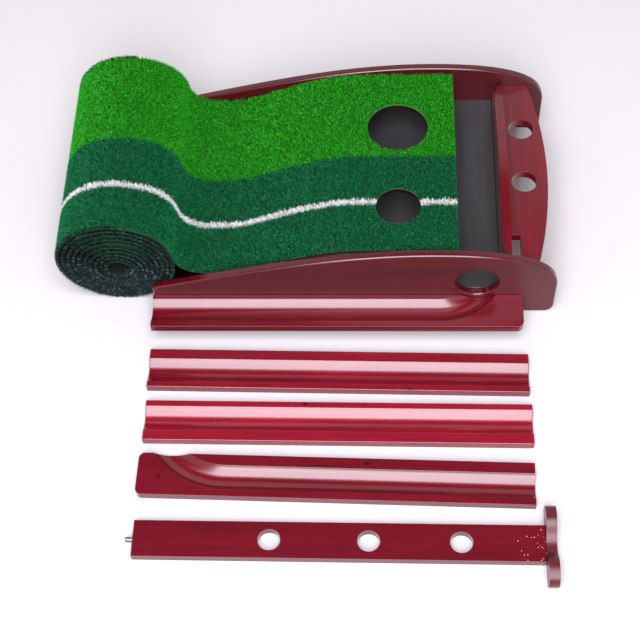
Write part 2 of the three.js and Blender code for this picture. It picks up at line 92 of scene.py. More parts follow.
# The two ball holes in the sheet: name, distance from the unit's near side, radius.
HOLE_X = 327.5 * MM
HOLES = (("large", 222 * MM, 41.5 * MM), ("small", 87 * MM, 30 * MM))


# ---- settings a user would change ----
class PUTTINGMAT_TurfSettings(bpy.types.PropertyGroup):
    thickness: bpy.props.FloatProperty(
        name="Thickness", description="Backing and pile together", default=6.7 * MM,
        min=3 * MM, max=12 * MM, unit="LENGTH", precision=4)
    pile_height: bpy.props.FloatProperty(
        name="Pile height", description="Height of the tufts above the backing", default=5.5 * MM,
        min=1 * MM, max=8 * MM, unit="LENGTH", precision=4)
    blades_per_cm2: bpy.props.FloatProperty(
        name="Blades per square centimetre", description="How closely the pile is set",
        default=112.0, min=10, max=300)
    light_green: bpy.props.FloatVectorProperty(
        name="Light green", description="Pile of the far half", subtype="COLOR", size=3,
        min=0, max=1, default=(0.0145, 0.345, 0.0050))
    dark_green: bpy.props.FloatVectorProperty(
        name="Dark green", description="Pile of the near half", subtype="COLOR", size=3,
        min=0, max=1, default=(0.0011, 0.150, 0.045))
    # Edge yarn is the pile's green, much darkened. It is painted shade for the sides of the roll,
    # where shade falls between its turns.
    shaded_rim_yarn: bpy.props.FloatVectorProperty(
        name="Edge yarn", description="Dull yarn along the sides of the roll", subtype="COLOR",
        size=3, min=0, max=1, default=(0.004, 0.018, 0.017))
    line_white: bpy.props.FloatVectorProperty(
        name="Line white", description="Pile of the aiming line", subtype="COLOR", size=3,
        min=0, max=1, default=(0.66, 0.68, 0.67))
    colour_edge: bpy.props.FloatProperty(
        name="Colour edge", description="Where the two greens meet, from the near side of the unit",
        default=170 * MM, unit="LENGTH", precision=4)
    line_place: bpy.props.FloatProperty(
        name="Line place", description="Middle of the aiming line, from the near side of the unit",
        default=93.2 * MM, unit="LENGTH", precision=4)
    line_width: bpy.props.FloatProperty(
        name="Line width", description="Width of the aiming line", default=8.5 * MM,
        unit="LENGTH", precision=4)
    turn_pitch: bpy.props.FloatProperty(
        name="Turn pitch", description="Room each turn of the roll takes", default=6.95 * MM,
        unit="LENGTH", precision=4)


class PUTTINGMAT_WoodSettings(bpy.types.PropertyGroup):
    lacquer_red: bpy.props.FloatVectorProperty(
        name="Lacquer red", description="Stained wood under clear lacquer", subtype="COLOR", size=3,
        min=0, max=1, default=(0.142, 0.0030, 0.0110))
    grain_dark: bpy.props.FloatVectorProperty(
        name="Grain dark", description="Darker streaks of the grain", subtype="COLOR", size=3,
        min=0, max=1, default=(0.068, 0.0014, 0.0052))
    plain_wood: bpy.props.FloatVectorProperty(
        name="Plain wood", description="Unfinished battens and dowels", subtype="COLOR", size=3,
        min=0, max=1, default=(0.60, 0.50, 0.48))
    edge_radius: bpy.props.FloatProperty(
        name="Edge radius", description="Rounding of the boards' edges", default=1.3 * MM,
        min=0.1 * MM, max=4 * MM, unit="LENGTH", precision=4)
    polish: bpy.props.FloatProperty(
        name="Polish", description="Roughness of the clear lacquer", default=0.17, min=0, max=1)


class PUTTINGMAT_StageSettings(bpy.types.PropertyGroup):
    lens: bpy.props.FloatProperty(
        name="Lens", description="Camera focal length in millimetres", default=79.88,
        min=10, max=300)
    pitch: bpy.props.FloatProperty(
        name="Pitch", description="How far the camera looks down", default=math.radians(57.308),
        subtype="ANGLE")
    roll: bpy.props.FloatProperty(
        name="Roll", description="How far the camera leans", default=math.radians(-3.487),
        subtype="ANGLE")
    yaw: bpy.props.FloatProperty(
        name="Yaw", description="How far the camera turns to the side", default=math.radians(4.214),
        subtype="ANGLE")
    camera_place: bpy.props.FloatVectorProperty(
        name="Camera place", description="From the near left bottom corner of the end unit",
        subtype="TRANSLATION", size=3, default=(0.298673, -1.048903, 1.615682))
    key_power: bpy.props.FloatProperty(
        name="Key power", description="Softbox above and in front, turned to the object",
        default=128.0, min=0, unit="POWER")
    halo_power: bpy.props.FloatProperty(
        name="Halo power", description="Larger, weaker softbox behind the key",
        default=74.0, min=0, unit="POWER")
    fill: bpy.props.FloatProperty(
        name="Fill", description="Even light from all round, up to half way to the zenith",
        default=0.75, min=0)
    crown: bpy.props.FloatProperty(
        name="Crown", description="Light from round the zenith, behind the lamps",
        default=0.05, min=0)
    floor_colour: bpy.props.FloatVectorProperty(
        name="Floor colour", description="Plain pale floor", subtype="COLOR", size=3,
        min=0, max=1, default=(0.50, 0.50, 0.50))


SETTINGS = (
    ("puttingmat_turf", PUTTINGMAT_TurfSettings),
    ("puttingmat_wood", PUTTINGMAT_WoodSettings),
    ("puttingmat_stage", PUTTINGMAT_StageSettings),
)


# ---- helpers for shader nodes ----
def new_group(name, inputs, outputs):
    """An empty node group with its sockets, and its start and end nodes."""
    group = bpy.data.node_groups.new(name, "ShaderNodeTree")
    for label, kind, value in inputs:
        socket = group.interface.new_socket(label, in_out="INPUT", socket_type=kind)
        if value is not None:
            socket.default_value = value
    for label, kind in outputs:
        group.interface.new_socket(label, in_out="OUTPUT", socket_type=kind)
    return group, group.nodes.new("NodeGroupInput"), group.nodes.new("NodeGroupOutput")


def place_group(tree, group, **links):
    """A group in a material, each of its inputs fed with a socket or a value."""
    node = tree.nodes.new("ShaderNodeGroup")
    node.node_tree = group
    for label, value in links.items():
        feed(tree, value, node.inputs[label.replace("_", " ")])
    return node


def feed(tree, value, socket):
    if isinstance(value, bpy.types.NodeSocket):
        tree.links.new(value, socket)
    else:
        socket.default_value = value


def scaled(tree, vector, scale, shift=(0, 0, 0), turn=(0, 0, 0)):
    node = tree.nodes.new("ShaderNodeMapping")
    tree.links.new(vector, node.inputs["Vector"])
    node.inputs["Scale"].default_value = scale
    node.inputs["Location"].default_value = shift
    node.inputs["Rotation"].default_value = turn
    return node.outputs["Vector"]


def noise(tree, vector, scale=1.0, detail=2.0, roughness=0.5, distortion=0.0):
    node = tree.nodes.new("ShaderNodeTexNoise")
    tree.links.new(vector, node.inputs["Vector"])
    node.inputs["Scale"].default_value = scale
    node.inputs["Detail"].default_value = detail
    node.inputs["Roughness"].default_value = roughness
    node.inputs["Distortion"].default_value = distortion
    return node.outputs["Fac"]


def ramp(tree, value, low, high, to_low=0.0, to_high=1.0):
    """A value spread from low and high to two others, and held at its ends."""
    node = tree.nodes.new("ShaderNodeMapRange")
    tree.links.new(value, node.inputs["Value"])
    node.inputs["From Min"].default_value = low
    node.inputs["From Max"].default_value = high
    node.inputs["To Min"].default_value = to_low
    node.inputs["To Max"].default_value = to_high
    return node.outputs["Result"]


def maths(tree, operation, a, b=0.0):
    node = tree.nodes.new("ShaderNodeMath")
    node.operation = operation
    feed(tree, a, node.inputs[0])
    feed(tree, b, node.inputs[1])
    return node.outputs[0]


def mixed(tree, factor, a, b):
    """Colour a where the factor is 0 and b where it is 1. Each is a socket or three numbers."""
    node = tree.nodes.new("ShaderNodeMix")
    node.data_type = "RGBA"
    feed(tree, factor, node.inputs["Factor"])
    for colour, socket in ((a, node.inputs["A"]), (b, node.inputs["B"])):
        feed(tree, (*colour, 1) if isinstance(colour, tuple) else colour, socket)
    return node.outputs["Result"]


def bumped(tree, height, strength, distance):
    node = tree.nodes.new("ShaderNodeBump")
    tree.links.new(height, node.inputs["Height"])
    node.inputs["Strength"].default_value = strength
    node.inputs["Distance"].default_value = distance
    return node.outputs["Normal"]


def own_place(tree):
    """The place of a point on its piece, in metres."""
    return tree.nodes.new("ShaderNodeTexCoord").outputs["Object"]


def new_material(name):
    material = bpy.data.materials.new(name)
    material.use_nodes = True
    tree = material.node_tree
    return material, tree, tree.nodes["Principled BSDF"]


# ---- shared effects ----
def wood_grain():
    """Long streaks and short pores that run along X of the vector it is given, in metres."""
    name = "wood_grain"
    if name in bpy.data.node_groups:
        return bpy.data.node_groups[name]
    group, start, end = new_group(
        name,
        [("Vector", "NodeSocketVector", None)],
        [("Tone", "NodeSocketFloat"), ("Pores", "NodeSocketFloat"), ("Height", "NodeSocketFloat")],
    )
    vector = start.outputs["Vector"]
    broad = noise(group, scaled(group, vector, (2.2, 26, 26)), 1, 3, 0.5, 0.6)
    streaks = noise(group, scaled(group, vector, (7, 240, 240)), 1, 5, 0.62, 0.25)
    fine = noise(group, scaled(group, vector, (16, 900, 900)), 1, 3, 0.6)
    specks = noise(group, scaled(group, vector, (34, 1250, 1250)), 1, 1, 0.5)
    pores = ramp(group, specks, 0.60, 0.72)
    shares = [maths(group, "MULTIPLY", part, share)
              for part, share in ((broad, 0.40), (streaks, 0.40), (fine, 0.20))]
    tone = maths(group, "ADD", maths(group, "ADD", shares[0], shares[1]), shares[2])
    height = maths(group, "SUBTRACT", streaks, maths(group, "MULTIPLY", pores, 0.8))
    group.links.new(ramp(group, tone, 0.36, 0.66), end.inputs["Tone"])
    group.links.new(pores, end.inputs["Pores"])
    group.links.new(height, end.inputs["Height"])
    return group


def knot_mark():
    """A small dark knot at a place, with a soft ragged edge."""
    name = "knot_mark"
    if name in bpy.data.node_groups:
        return bpy.data.node_groups[name]
    group, start, end = new_group(
        name,
        [("Vector", "NodeSocketVector", None), ("Place", "NodeSocketVector", (0, 0, 0)),
         ("Radius", "NodeSocketFloat", 0.002)],
        [("Mask", "NodeSocketFloat")],
    )
    apart = group.nodes.new("ShaderNodeVectorMath")
    apart.operation = "SUBTRACT"
    group.links.new(start.outputs["Vector"], apart.inputs[0])
    group.links.new(start.outputs["Place"], apart.inputs[1])
    squeezed = scaled(group, apart.outputs["Vector"], (0.6, 1, 1))
    length = group.nodes.new("ShaderNodeVectorMath")
    length.operation = "LENGTH"
    group.links.new(squeezed, length.inputs[0])
    ragged = maths(group, "MULTIPLY", noise(group, start.outputs["Vector"], 900, 2, 0.6), 0.9)
    reach = maths(group, "DIVIDE", length.outputs["Value"], start.outputs["Radius"])
    edge = maths(group, "ADD", reach, ragged)
    group.links.new(ramp(group, edge, 1.5, 0.9), end.inputs["Mask"])
    return group


def pale_flecks():
    """Specks of dried dust that thicken along X from a given place."""
    name = "pale_flecks"
    if name in bpy.data.node_groups:
        return bpy.data.node_groups[name]
    group, start, end = new_group(
        name, [("Vector", "NodeSocketVector", None), ("From", "NodeSocketFloat", 0.0)],
        [("Mask", "NodeSocketFloat")])
    cells = group.nodes.new("ShaderNodeTexVoronoi")
    cells.inputs["Scale"].default_value = 300
    group.links.new(start.outputs["Vector"], cells.inputs["Vector"])
    hue = group.nodes.new("ShaderNodeSeparateColor")
    group.links.new(cells.outputs["Color"], hue.inputs["Color"])
    split = group.nodes.new("ShaderNodeSeparateXYZ")
    group.links.new(start.outputs["Vector"], split.inputs["Vector"])
    beyond = maths(group, "SUBTRACT", split.outputs["X"], start.outputs["From"])
    chance = ramp(group, beyond, 0.0, 0.030, 0.0, 0.75)
    picked = maths(group, "LESS_THAN", hue.outputs["Red"], chance)
    dot = ramp(group, cells.outputs["Distance"], 0.24, 0.12)
    group.links.new(maths(group, "MULTIPLY", picked, dot), end.inputs["Mask"])
    return group


def fine_weave():
    """Crossing threads of a backing cloth on the vector's X and Y."""
    name = "fine_weave"
    if name in bpy.data.node_groups:
        return bpy.data.node_groups[name]
    group, start, end = new_group(
        name, [("Vector", "NodeSocketVector", None)], [("Height", "NodeSocketFloat")])
    waves = []
    for direction in ("X", "Y"):
        wave = group.nodes.new("ShaderNodeTexWave")
        wave.wave_type = "BANDS"
        wave.bands_direction = direction
        wave.inputs["Scale"].default_value = 160
        wave.inputs["Distortion"].default_value = 0.8
        group.links.new(start.outputs["Vector"], wave.inputs["Vector"])
        waves.append(wave.outputs["Fac"])
    group.links.new(maths(group, "MULTIPLY", *waves), end.inputs["Height"])
    return group


# ---- finishes ----
def lacquered_wood(name, wood, along_y=False, turn=0.0, knots=(), shift=(0, 0, 0),
                   lighter=1.0, dusty_from=None, dull=0.0):
    """Clear lacquer over red-stained wood, its grain along X or Y.

    Turn is the angle that the board lies at, lighter scales the stain, dull takes away gloss, each
    knot is a place from the unit's corner and a radius, and dusty_from is where specks begin."""
    material, tree, shader = new_material(name)
    place = own_place(tree)
    angle = (math.pi / 2 if along_y else 0) - turn
    along = scaled(tree, place, (1, 1, 1), shift, (0, 0, angle))
    grain = place_group(tree, wood_grain(), Vector=along)
    red = tuple(c * lighter for c in wood.lacquer_red)
    dark = tuple(c * lighter for c in wood.grain_dark)
    colour = mixed(tree, grain.outputs["Tone"], dark, red)
    pores = maths(tree, "MULTIPLY", grain.outputs["Pores"], 0.55)
    colour = mixed(tree, pores, colour, (0.035, 0.001, 0.002))
    for spot, radius in knots:
        spot = tuple(CORNER + Vector(spot))
        mark = place_group(tree, knot_mark(), Vector=place, Place=spot, Radius=radius)
        knot = maths(tree, "MULTIPLY", mark.outputs["Mask"], 0.85)
        colour = mixed(tree, knot, colour, (0.02, 0.002, 0.002))
    if dusty_from is not None:
        flecks = place_group(tree, pale_flecks(), Vector=place, From=CORNER.x + dusty_from)
        colour = mixed(tree, flecks.outputs["Mask"], colour, (0.62, 0.36, 0.34))
    tree.links.new(colour, shader.inputs["Base Color"])
    tree.links.new(ramp(tree, grain.outputs["Tone"], 0, 1, 0.36, 0.26), shader.inputs["Roughness"])
    tree.links.new(bumped(tree, grain.outputs["Height"], 0.10, 0.0002), shader.inputs["Normal"])
    shader.inputs["Coat Weight"].default_value = 1.0 - dull
    shader.inputs["Coat Roughness"].default_value = wood.polish + dull
    shader.inputs["Coat IOR"].default_value = 1.6
    shader.inputs["Specular IOR Level"].default_value = 0.04
    shader.inputs["Specular Tint"].default_value = (1.0, 0.72, 0.86, 1)
    return material


def unfinished_wood(wood):
    """Bare wood of the battens, the dowels and the hidden rails."""
    material, tree, shader = new_material("plain_wood")
    place = own_place(tree)
    along = scaled(tree, place, (1, 1, 1), turn=(0, 0, math.pi / 2))
    grain = place_group(tree, wood_grain(), Vector=along)
    pale = tuple(wood.plain_wood)
    colour = mixed(tree, grain.outputs["Tone"], tuple(c * 0.72 for c in pale), pale)
    tree.links.new(colour, shader.inputs["Base Color"])
    tree.links.new(ramp(tree, grain.outputs["Tone"], 0, 1, 0.78, 0.62), shader.inputs["Roughness"])
    tree.links.new(bumped(tree, grain.outputs["Height"], 0.3, 0.0003), shader.inputs["Normal"])
    return material


def black_lining():
    """Matt black sheet with a faint grey painted sheen along its middle."""
    material, tree, shader = new_material("black_lining")
    place = own_place(tree)
    painted_sheen = ramp(tree, noise(tree, scaled(tree, place, (26, 7, 7)), 1, 4, 0.55, 0.4), 0.42, 0.72)
    fleck = noise(tree, place, 1500, 2, 0.6)
    # Painted sheen: the lighter grey that this mask lays along the middle of the black sheet.
    colour = mixed(tree, painted_sheen, (0.0120, 0.0118, 0.0126), (0.028, 0.0275, 0.030))
    colour = mixed(tree, ramp(tree, fleck, 0.35, 0.75, 0, 0.35), colour, (0.042, 0.042, 0.044))
    tree.links.new(colour, shader.inputs["Base Color"])
    tree.links.new(ramp(tree, painted_sheen, 0, 1, 0.62, 0.46), shader.inputs["Roughness"])
    tree.links.new(bumped(tree, fleck, 0.35, 0.0002), shader.inputs["Normal"])
    return material


def brushed_pin():
    """Steel drawn along X."""
    material, tree, shader = new_material("pin_steel")
    place = own_place(tree)
    marks = noise(tree, scaled(tree, place, (1800, 90, 90)), 1, 3, 0.6)
    colour = mixed(tree, marks, (0.09, 0.09, 0.095), (0.24, 0.24, 0.25))
    tree.links.new(colour, shader.inputs["Base Color"])
    tree.links.new(ramp(tree, marks, 0.3, 0.7, 0.24, 0.42), shader.inputs["Roughness"])
    tree.links.new(bumped(tree, marks, 0.15, 0.0001), shader.inputs["Normal"])
    shader.inputs["Metallic"].default_value = 1.0
    return material


def side_of_unit(tree, place):
    """How far a point is from the near side of the end unit, in metres."""
    split = tree.nodes.new("ShaderNodeSeparateXYZ")
    tree.links.new(place, split.inputs["Vector"])
    return maths(tree, "SUBTRACT", split.outputs["Y"], CORNER.y)


def turf_ground(turf):
    """The shaded floor of the pile, in the colours of the tufts above it."""
    material, tree, shader = new_material("turf_ground")
    place = own_place(tree)
    across = side_of_unit(tree, place)
    speckle = noise(tree, place, 1100, 3, 0.65)
    wander = ramp(tree, noise(tree, place, 420, 3, 0.6), 0, 1, -2.4 * MM, 2.4 * MM)
    wavy = maths(tree, "ADD", across, wander)
    far = maths(tree, "GREATER_THAN", wavy, turf.colour_edge)
    away = maths(tree, "ABSOLUTE", maths(tree, "SUBTRACT", wavy, turf.line_place))
    line = maths(tree, "LESS_THAN", away, turf.line_width / 2)
    green = mixed(tree, far, tuple(turf.dark_green), tuple(turf.light_green))
    colour = mixed(tree, line, green, tuple(turf.line_white))
    colour = mixed(tree, ramp(tree, speckle, 0.35, 0.7, 0.75, 0.15), colour, (0.002, 0.010, 0.004))
    tree.links.new(colour, shader.inputs["Base Color"])
    tree.links.new(ramp(tree, speckle, 0.3, 0.7, 0.95, 0.8), shader.inputs["Roughness"])
    tree.links.new(bumped(tree, speckle, 0.8, 0.0008), shader.inputs["Normal"])
    return material


def turf_backing():
    """Dark rubbery cloth under the pile."""
    material, tree, shader = new_material("turf_backing")
    place = own_place(tree)
    weave = place_group(tree, fine_weave(), Vector=place)
    grit = noise(tree, place, 1300, 3, 0.6)
    colour = mixed(tree, grit, (0.003, 0.0045, 0.0045), (0.011, 0.015, 0.014))
    tree.links.new(colour, shader.inputs["Base Color"])
    tree.links.new(ramp(tree, grit, 0.3, 0.7, 0.95, 0.8), shader.inputs["Roughness"])
    shader.inputs["Specular IOR Level"].default_value = 0.08
    tree.links.new(bumped(tree, weave.outputs["Height"], 0.5, 0.0004), shader.inputs["Normal"])
    return material


def pile_yarn(name, colour, root, tip, fleck, flecks=0.05, spread=(0.34, 1.75), depth=0.8):
    """Yarn whose map gives each blade its own tint across and runs from root to tip upward.

    Root and tip say how much painted shade darkens it at the root and painted light pales it at the
    tip, flecks is the share of blades in the fleck colour, spread is the range of the tints and depth
    the painted shade between tufts."""
    material, tree, shader = new_material(name)
    layer = tree.nodes.new("ShaderNodeUVMap")
    layer.uv_map = PILE_MAP
    split = tree.nodes.new("ShaderNodeSeparateXYZ")
    tree.links.new(layer.outputs["UV"], split.inputs["Vector"])
    own = split.outputs["X"]
    low, high = (tuple(min(c * share, 1) for c in colour) for share in spread)
    shade = mixed(tree, own, low, high)
    place = own_place(tree)
    # Painted shade: patches of noise darken the blades, down to a fifth of their colour, as shade
    # between the tufts.
    tuft = ramp(tree, noise(tree, place, 360, 2, 0.7), 0.42, 0.60)
    between = tuple(c * 0.20 for c in colour)
    shade = mixed(tree, maths(tree, "MULTIPLY", tuft, depth), shade, between)
    shade = mixed(tree, maths(tree, "GREATER_THAN", own, 1 - flecks), shade, fleck)
    # Painted shade: each blade darkens towards its root, where shade falls low in the pile.
    low_down = ramp(tree, split.outputs["Y"], 0.0, 0.8, root, 0.0)
    shade = mixed(tree, low_down, shade, (0.001, 0.004, 0.002))
    # Painted light: each blade pales towards its tip, where the light falls on the top of the pile.
    high_up = ramp(tree, split.outputs["Y"], 0.6, 1.0, 0.0, tip)
    shade = mixed(tree, high_up, shade, tuple(min(c * 1.9 + 0.008, 1) for c in colour))
    tree.links.new(shade, shader.inputs["Base Color"])
    tree.links.new(ramp(tree, own, 0, 1, 0.72, 0.5), shader.inputs["Roughness"])
    shader.inputs["Specular IOR Level"].default_value = 0.18
    return material


# ---- helpers for pieces ----
SAME_POINT = 1e-6
SAME_PLANE = math.radians(0.4)
ROUNDED_FROM = math.radians(28)
SMOOTH_TO = math.radians(32)
UPRIGHT = 0.97


def only(piece):
    """Make this the one selected and active object."""
    if bpy.context.object and bpy.context.object.mode != "OBJECT":
        bpy.ops.object.mode_set(mode="OBJECT")
    bpy.ops.object.select_all(action="DESELECT")
    piece.select_set(True)
    bpy.context.view_layer.objects.active = piece


def finished_board(node, edge, material, segments=3, broad=None):
    """A merged copy of a CAD board with its edges rounded, standing for the board.

    Broad is the finish of its upright faces along X, if they have their own."""
    source = frame["nodes"][node]
    piece = bpy.data.objects.new(f"{node}_finished", source.data.copy())
    bpy.context.scene.collection.objects.link(piece)
    only(piece)
    bpy.ops.object.mode_set(mode="EDIT")
    bpy.ops.mesh.select_all(action="SELECT")
    bpy.ops.mesh.remove_doubles(threshold=SAME_POINT)
    bpy.ops.mesh.customdata_custom_splitnormals_clear()
    bpy.ops.mesh.dissolve_limited(angle_limit=SAME_PLANE)
    bpy.ops.object.mode_set(mode="OBJECT")
    rounding = piece.modifiers.new("rounding", "BEVEL")
    rounding.width = edge
    rounding.segments = segments
    rounding.limit_method = "ANGLE"
    rounding.angle_limit = ROUNDED_FROM
    rounding.use_clamp_overlap = broad is None
    rounding.miter_outer = "MITER_ARC"
    bpy.ops.object.modifier_apply(modifier=rounding.name)
    bpy.ops.object.shade_smooth_by_angle(angle=SMOOTH_TO)
    flats = piece.modifiers.new("true_flats", "WEIGHTED_NORMAL")
    flats.keep_sharp = True
    flats.weight = 80
    bpy.ops.object.modifier_apply(modifier=flats.name)
    piece.data.materials.clear()
    piece.data.materials.append(material)
    if broad:
        piece.data.materials.append(broad)
        for face in piece.data.polygons:
            face.material_index = int(abs(face.normal.y) > UPRIGHT)
    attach(piece, source["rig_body"])
    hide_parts(node)
    return piece


# ---- the turf's shape, in the end unit's side view: X and Z from its near left bottom corner ----
ROLL_RADIUS = 82 * MM
ROLL_CENTRE = np.array([-46 * MM, ROLL_RADIUS])
LEAVES_ROLL = math.radians(80)
CORE_RADIUS = 8 * MM
CORE_DROP = 16 * MM
DRAWN_IN = 6.3 * MM
JOG = (math.radians(262), math.radians(440))
VALLEY = np.array([80 * MM, PLATFORM_HIGH.z - 44.5 * MM])
BULGE = np.array([34.5 * MM, VALLEY[1] + 34.5 * MM])
RAMP_FOOT = np.array([3, 10]) * MM
TOUCH_DOWN_SHARE = 0.525
STEP = 1.0 * MM

# The seeds, how the sheet's sides slip in waves, and the steps over which the roll is drawn in.
SLIP_SEED, PILE_SEED = 11, 23
SLIP_WAVES = 40
SLIP_WAVE_LENGTH = 0.11
SLIP_GROWS_OVER = 0.25
LAID_SLIP, ROLLED_SLIP = 0.35 * MM, 0.9 * MM
DRAWN_STEPS = 130

# Steps from row to row of the sheet in the inner turns and past them, and points across it.
INNER_ROW, OUTER_ROW, POINTS_ACROSS = 4, 3, 13
OUTER_STEPS = 520


def bezier(a, b, c, d, count):
    t = np.linspace(0, 1, count + 1)[:, None]
    return (1 - t) ** 3 * a + 3 * (1 - t) ** 2 * t * b + 3 * (1 - t) * t * t * c + t ** 3 * d


def eased(share):
    """A share from 0 to 1 that starts and ends gently."""
    return share * share * (3 - 2 * share)


def normals_left(line):
    way = np.gradient(line, axis=0)
    way /= np.linalg.norm(way, axis=1)[:, None]
    return np.stack([-way[:, 1], way[:, 0]], 1)


def respaced(line, step):
    along = np.concatenate([[0], np.cumsum(np.linalg.norm(np.diff(line, axis=0), axis=1))])
    at = np.linspace(0, along[-1], int(along[-1] / step) + 1)
    return np.stack([np.interp(at, along, line[:, k]) for k in range(2)], 1)


def free_line(turf):
    """The pile's top from where it leaves the roll to the platform's end."""
    deck = PLATFORM_HIGH.z
    start_x = PLATFORM_LOW.x - CORNER.x
    end_x = PLATFORM_HIGH.x - CORNER.x + 1 * MM
    ramp_line = bezier(
        RAMP_FOOT,
        RAMP_FOOT + np.array([0.35 * start_x, 0.38 * (deck - RAMP_FOOT[1])]),
        np.array([0.7 * start_x, deck - 7 * MM]),
        np.array([start_x - SEAT_GAP, deck]),
        56,
    )
    lift = turf.thickness + SEAT_GAP
    on_ramp = ramp_line + normals_left(ramp_line) * lift
    on_ramp = on_ramp[on_ramp[:, 0] > TOUCH_DOWN_SHARE * start_x]
    touch, rise = on_ramp[0], on_ramp[1] - on_ramp[0]
    rise = rise / np.linalg.norm(rise)
    way = np.array([math.sin(LEAVES_ROLL), -math.cos(LEAVES_ROLL)])
    leave = ROLL_CENTRE + ROLL_RADIUS * np.array([math.cos(LEAVES_ROLL), math.sin(LEAVES_ROLL)])
    parts = [
        bezier(leave, leave + way * 43 * MM, BULGE + np.array([-6, 30]) * MM, BULGE, 24),
        bezier(BULGE, BULGE + np.array([5, -25]) * MM,
               VALLEY + np.array([-29, 0]) * MM, VALLEY, 24)[1:],
        bezier(VALLEY, VALLEY + np.array([20, 0]) * MM, touch - rise * 24 * MM, touch, 16)[1:],
        on_ramp[1:],
        np.array([[start_x + lift, deck + lift], [end_x, deck + lift]]),
    ]
    return respaced(np.concatenate(parts), STEP)


def wound_line(turf):
    """The pile's top in the roll, from its inner end to where it leaves."""
    inner = CORE_RADIUS + turf.thickness
    pitches = turf.turn_pitch + 0.28 * MM * np.sin(np.arange(20) * 2.3)
    taken = np.concatenate([[0], np.cumsum(pitches)])
    angles, radii = [], []
    angle, radius = LEAVES_ROLL, ROLL_RADIUS
    while radius > inner:
        angles.append(angle)
        radii.append(radius)
        angle += STEP / radius
        turn = int((angle - LEAVES_ROLL) / (2 * math.pi))
        within = angle - 2 * math.pi * turn
        share = eased(min(max((within - JOG[0]) / (JOG[1] - JOG[0]), 0), 1))
        radius = ROLL_RADIUS - taken[turn] - pitches[turn] * share
    angles, radii = np.array(angles[::-1]), np.array(radii[::-1])
    sunk = CORE_DROP * (ROLL_RADIUS - radii) / (ROLL_RADIUS - CORE_RADIUS)
    middle = ROLL_CENTRE - np.stack([np.zeros(len(sunk)), sunk], 1)
    return middle + np.stack([np.cos(angles), np.sin(angles)], 1) * radii[:, None]


class TurfCourse:
    """The whole length of turf: its pile line, its normals and how it lies from side to side."""

    def __init__(self, turf):
        wound, free = wound_line(turf), free_line(turf)
        self.tips = np.concatenate([wound[:-1], free])
        self.up = normals_left(self.tips)
        self.leave = len(wound) - 1
        self.length = float(np.linalg.norm(np.diff(self.tips, axis=0), axis=1).sum())
        self.near = TURF_LOW.y
        self.far = TURF_HIGH.y
        steps = np.arange(len(self.tips))
        rolled = np.clip((self.leave - steps) * STEP / SLIP_GROWS_OVER, 0, 1)
        waves = np.random.default_rng(SLIP_SEED).normal(size=(4, SLIP_WAVES))
        at = steps * STEP / SLIP_WAVE_LENGTH
        wave = [np.interp(at, np.arange(SLIP_WAVES), row) for row in waves]
        drawn = np.clip((self.leave + DRAWN_STEPS - steps) / DRAWN_STEPS, 0, 1)
        self.drawn = DRAWN_IN * eased(drawn)
        self.slip_near = LAID_SLIP * wave[0] + rolled * ROLLED_SLIP * wave[1] + self.drawn
        self.slip_far = LAID_SLIP * wave[2] + rolled * ROLLED_SLIP * wave[3]

    def side(self, index, share):
        """The place across the mat of a share from the near edge to the far one."""
        near = self.near + self.slip_near[index]
        far = self.far + self.slip_far[index]
        return near + (far - near) * share

    def point(self, index, across, below):
        line = self.tips[index] - self.up[index] * below[:, None]
        return np.stack([line[:, 0] + CORNER.x, across, line[:, 1]], 1)


def cut_holes(piece, turf):
    """The two ball holes, cut straight down through the sheet over the platform."""
    for name, across, radius in HOLES:
        bpy.ops.object.select_all(action="DESELECT")
        bpy.ops.mesh.primitive_cylinder_add(
            vertices=96, radius=radius, depth=30 * MM,
            location=(CORNER.x + HOLE_X, CORNER.y + across, PLATFORM_HIGH.z + 8 * MM))
        cutter = bpy.context.object
        cutter.name = f"cutter_{name}"
        only(piece)
        cut = piece.modifiers.new("hole", "BOOLEAN")
        cut.operation = "DIFFERENCE"
        cut.solver = "EXACT"
        cut.object = cutter
        bpy.ops.object.modifier_apply(modifier=cut.name)
        bpy.data.objects.remove(cutter)


# ---- operators ----
class PUTTINGMAT_OT_end_unit(bpy.types.Operator):
    """Round and lacquer the boards of the end unit"""
    bl_idname = "puttingmat.end_unit"
    bl_label = "End unit boards"

    def execute(self, context):
        wood = context.scene.puttingmat_wood
        panel_rims = lacquered_wood("lacquer_panel_rims", wood, lighter=0.55)
        panel_faces = lacquered_wood("lacquer_panel_faces", wood, lighter=0.58, dull=0.26)
        along_y = lacquered_wood("lacquer_cross_boards", wood, along_y=True, shift=(0.3, 0.1, 0))
        for node in ("near_side_panel", "far_side_panel"):
            finished_board(node, wood.edge_radius * 2.0, panel_rims, segments=6, broad=panel_faces)
        for node in ("backstop_board", "ball_shelf", "trough_end_wall", "trough_floor"):
            finished_board(node, wood.edge_radius * 0.7, along_y)
        hidden = lacquered_wood("lacquer_under_turf", wood, along_y=True, lighter=0.12, dull=0.3)
        for node in ("platform_board", "ramp_deck"):
            finished_board(node, wood.edge_radius * 0.7, hidden)
        raw = unfinished_wood(wood)
        for node in ("front_rail", "ramp_rib", "platform_batten_near", "platform_batten_far",
                     "trough_batten_near", "trough_batten_far", "rear_base_board",
                     "track_dowel_1", "track_dowel_2", "track_dowel_3",
                     "head_dowel_1", "head_dowel_2"):
            finished_board(node, 0.4 * MM, raw)
        finished_board("trough_lining", 0.3 * MM, black_lining())
        return {"FINISHED"}


